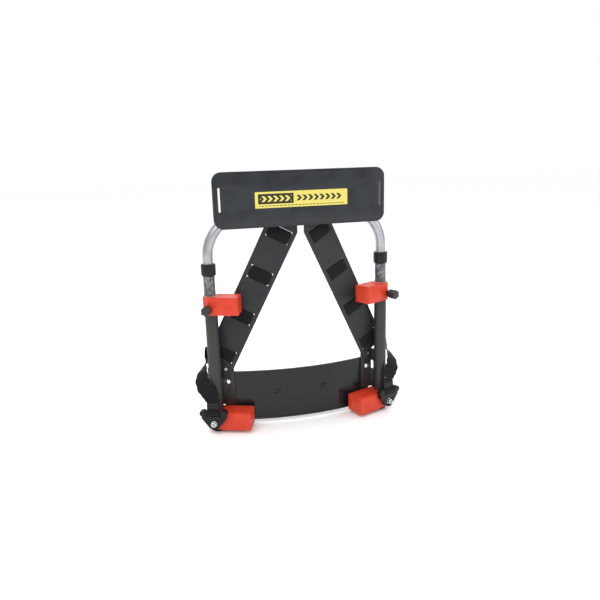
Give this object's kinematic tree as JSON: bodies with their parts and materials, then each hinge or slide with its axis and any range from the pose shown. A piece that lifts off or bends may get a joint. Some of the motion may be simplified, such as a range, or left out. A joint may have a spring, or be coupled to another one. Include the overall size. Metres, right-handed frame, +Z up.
{
  "type": "pack frame",
  "caption": "Back-carried load frame: telescoping tube hoop with a head panel, V-shaped strap panels, curved hip plate, swivelling load blocks and strap brackets.",
  "frame": {"origin": "on the ground at the middle of the footprint, midway between the two tubes", "axes": "+Z up the tubes, -Y towards the load, +Y towards the wearer, +X to the right seen from the load side"},
  "size_m": [0.486, 0.0939, 0.585],
  "materials": {
    "anodised_tube": "satin drawn",
    "moulded_black": "satin moulded",
    "label_film": "printed film",
    "zinc_steel": "zinc plated",
    "scratched_steel": "worn",
    "black_powder_coat": "powder coated",
    "nylon": "moulded",
    "strap_sheet": "cut sheet",
    "webbing": "woven",
    "hip_sheet": "satin formed sheet",
    "black_fastener": "moulded",
    "pad_mesh": "spacer mesh over foam",
    "chrome": "polished",
    "red_block": "moulded",
    "brass": "turned brass",
    "knob_black": "moulded"
  },
  "bodies": {
    "frame": {"upper_tube_left": "scratched_steel", "upper_tube_right": "scratched_steel", "lower_tube_left": "black_powder_coat", "lower_tube_right": "black_powder_coat", "end_caps": "moulded_black", "collets": "nylon", "tube_rivets": "zinc_steel", "strap_panel_left": "strap_sheet", "strap_panel_right": "strap_sheet", "lacing_left": "webbing", "lacing_right": "webbing", "hip_plate": "hip_sheet", "hip_fasteners": "black_fastener", "hip_pad": "pad_mesh", "saddle_left": "black_powder_coat", "saddle_right": "black_powder_coat", "saddle_bolts": "chrome", "saddle_nuts": "zinc_steel", "strap_rivets": "zinc_steel", "shoulder_strap_left": "pad_mesh", "shoulder_strap_right": "pad_mesh", "strap_tail_left": "webbing", "strap_tail_right": "webbing"},
    "hoop": {"hoop_tube": "anodised_tube", "head_panel": "moulded_black", "label_plate": "label_film", "panel_clips": "moulded_black", "clip_screws": "zinc_steel"},
    "collar_left": {"collar_left": "moulded_black"},
    "slider_left": {"liner_upper_left": "nylon"},
    "upper_block_left": {"block_front_upper_left": "red_block", "block_back_upper_left": "red_block", "insert_upper_left": "brass"},
    "shoe_left": {"shoe_upper_left": "nylon"},
    "knob_left": {"knob_upper_left": "knob_black"},
    "lower_block_left": {"block_front_lower_left": "red_block", "block_back_lower_left": "red_block", "bracket_bolt_left": "zinc_steel", "bracket_nut_left": "chrome"},
    "strap_bracket_left": {"bracket_left": "black_powder_coat", "web_loop_left": "webbing"},
    "collar_right": {"collar_right": "moulded_black"},
    "slider_right": {"liner_upper_right": "nylon"},
    "upper_block_right": {"block_front_upper_right": "red_block", "block_back_upper_right": "red_block", "insert_upper_right": "brass"},
    "shoe_right": {"shoe_upper_right": "nylon"},
    "knob_right": {"knob_upper_right": "knob_black"},
    "lower_block_right": {"block_front_lower_right": "red_block", "block_back_lower_right": "red_block", "bracket_bolt_right": "zinc_steel", "bracket_nut_right": "chrome"},
    "strap_bracket_right": {"bracket_right": "black_powder_coat", "web_loop_right": "webbing"}
  },
  "joints": [
    {"name": "hoop_slide", "type": "slide", "parent": "frame", "child": "hoop", "axis": [0, 0, 1], "range_m": [-0.008, 0.06]},
    {"name": "collar_left_twist", "type": "hinge", "parent": "frame", "child": "collar_left", "pos_m": [-0.2, 0.012, 0.376], "axis": [0, 0, 1], "range_deg": [0, 90]},
    {"name": "upper_block_left_slide", "type": "slide", "parent": "frame", "child": "slider_left", "axis": [0, 0, 1], "range_m": [0, 0.042]},
    {"name": "upper_block_left_swivel", "type": "hinge", "parent": "slider_left", "child": "upper_block_left", "pos_m": [-0.2, 0.012, 0.299], "axis": [0, 0, 1], "range_deg": [-75, 0]},
    {"name": "knob_left_screw_travel", "type": "slide", "parent": "upper_block_left", "child": "shoe_left", "axis": [-0.342, -0.9397, 0], "range_m": [0, 0.0025]},
    {"name": "knob_left_turn", "type": "hinge", "parent": "shoe_left", "child": "knob_left", "pos_m": [-0.21026, -0.01619, 0.294], "axis": [-0.342, -0.9397, 0], "range_deg": [0, 720]},
    {"name": "lower_block_left_swivel", "type": "hinge", "parent": "frame", "child": "lower_block_left", "pos_m": [-0.2, 0.012, 0.0295], "axis": [0, 0, 1], "range_deg": [-60, 0]},
    {"name": "strap_bracket_left_pivot", "type": "hinge", "parent": "lower_block_left", "child": "strap_bracket_left", "pos_m": [-0.21124, -0.01582, 0.0265], "axis": [-0.3746, -0.9272, 0], "range_deg": [-25, 25]},
    {"name": "collar_right_twist", "type": "hinge", "parent": "frame", "child": "collar_right", "pos_m": [0.2, 0.012, 0.376], "axis": [0, 0, 1], "range_deg": [0, 90]},
    {"name": "upper_block_right_slide", "type": "slide", "parent": "frame", "child": "slider_right", "axis": [0, 0, 1], "range_m": [0, 0.042]},
    {"name": "upper_block_right_swivel", "type": "hinge", "parent": "slider_right", "child": "upper_block_right", "pos_m": [0.2, 0.012, 0.299], "axis": [0, 0, 1], "range_deg": [0, 75]},
    {"name": "knob_right_screw_travel", "type": "slide", "parent": "upper_block_right", "child": "shoe_right", "axis": [0.454, -0.891, 0], "range_m": [0, 0.0025]},
    {"name": "knob_right_turn", "type": "hinge", "parent": "shoe_right", "child": "knob_right", "pos_m": [0.21362, -0.01473, 0.294], "axis": [0.454, -0.891, 0], "range_deg": [0, 720]},
    {"name": "lower_block_right_swivel", "type": "hinge", "parent": "frame", "child": "lower_block_right", "pos_m": [0.2, 0.012, 0.0295], "axis": [0, 0, 1], "range_deg": [0, 60]},
    {"name": "strap_bracket_right_pivot", "type": "hinge", "parent": "lower_block_right", "child": "strap_bracket_right", "pos_m": [0.21124, -0.01582, 0.0265], "axis": [0.3746, -0.9272, 0], "range_deg": [-25, 25]}
  ],
  "couplings": [
    {"joint": "knob_left_screw_travel", "follows": "knob_left_turn", "m_per_rad": 0.00019894},
    {"joint": "knob_right_screw_travel", "follows": "knob_right_turn", "m_per_rad": 0.00019894}
  ]
}
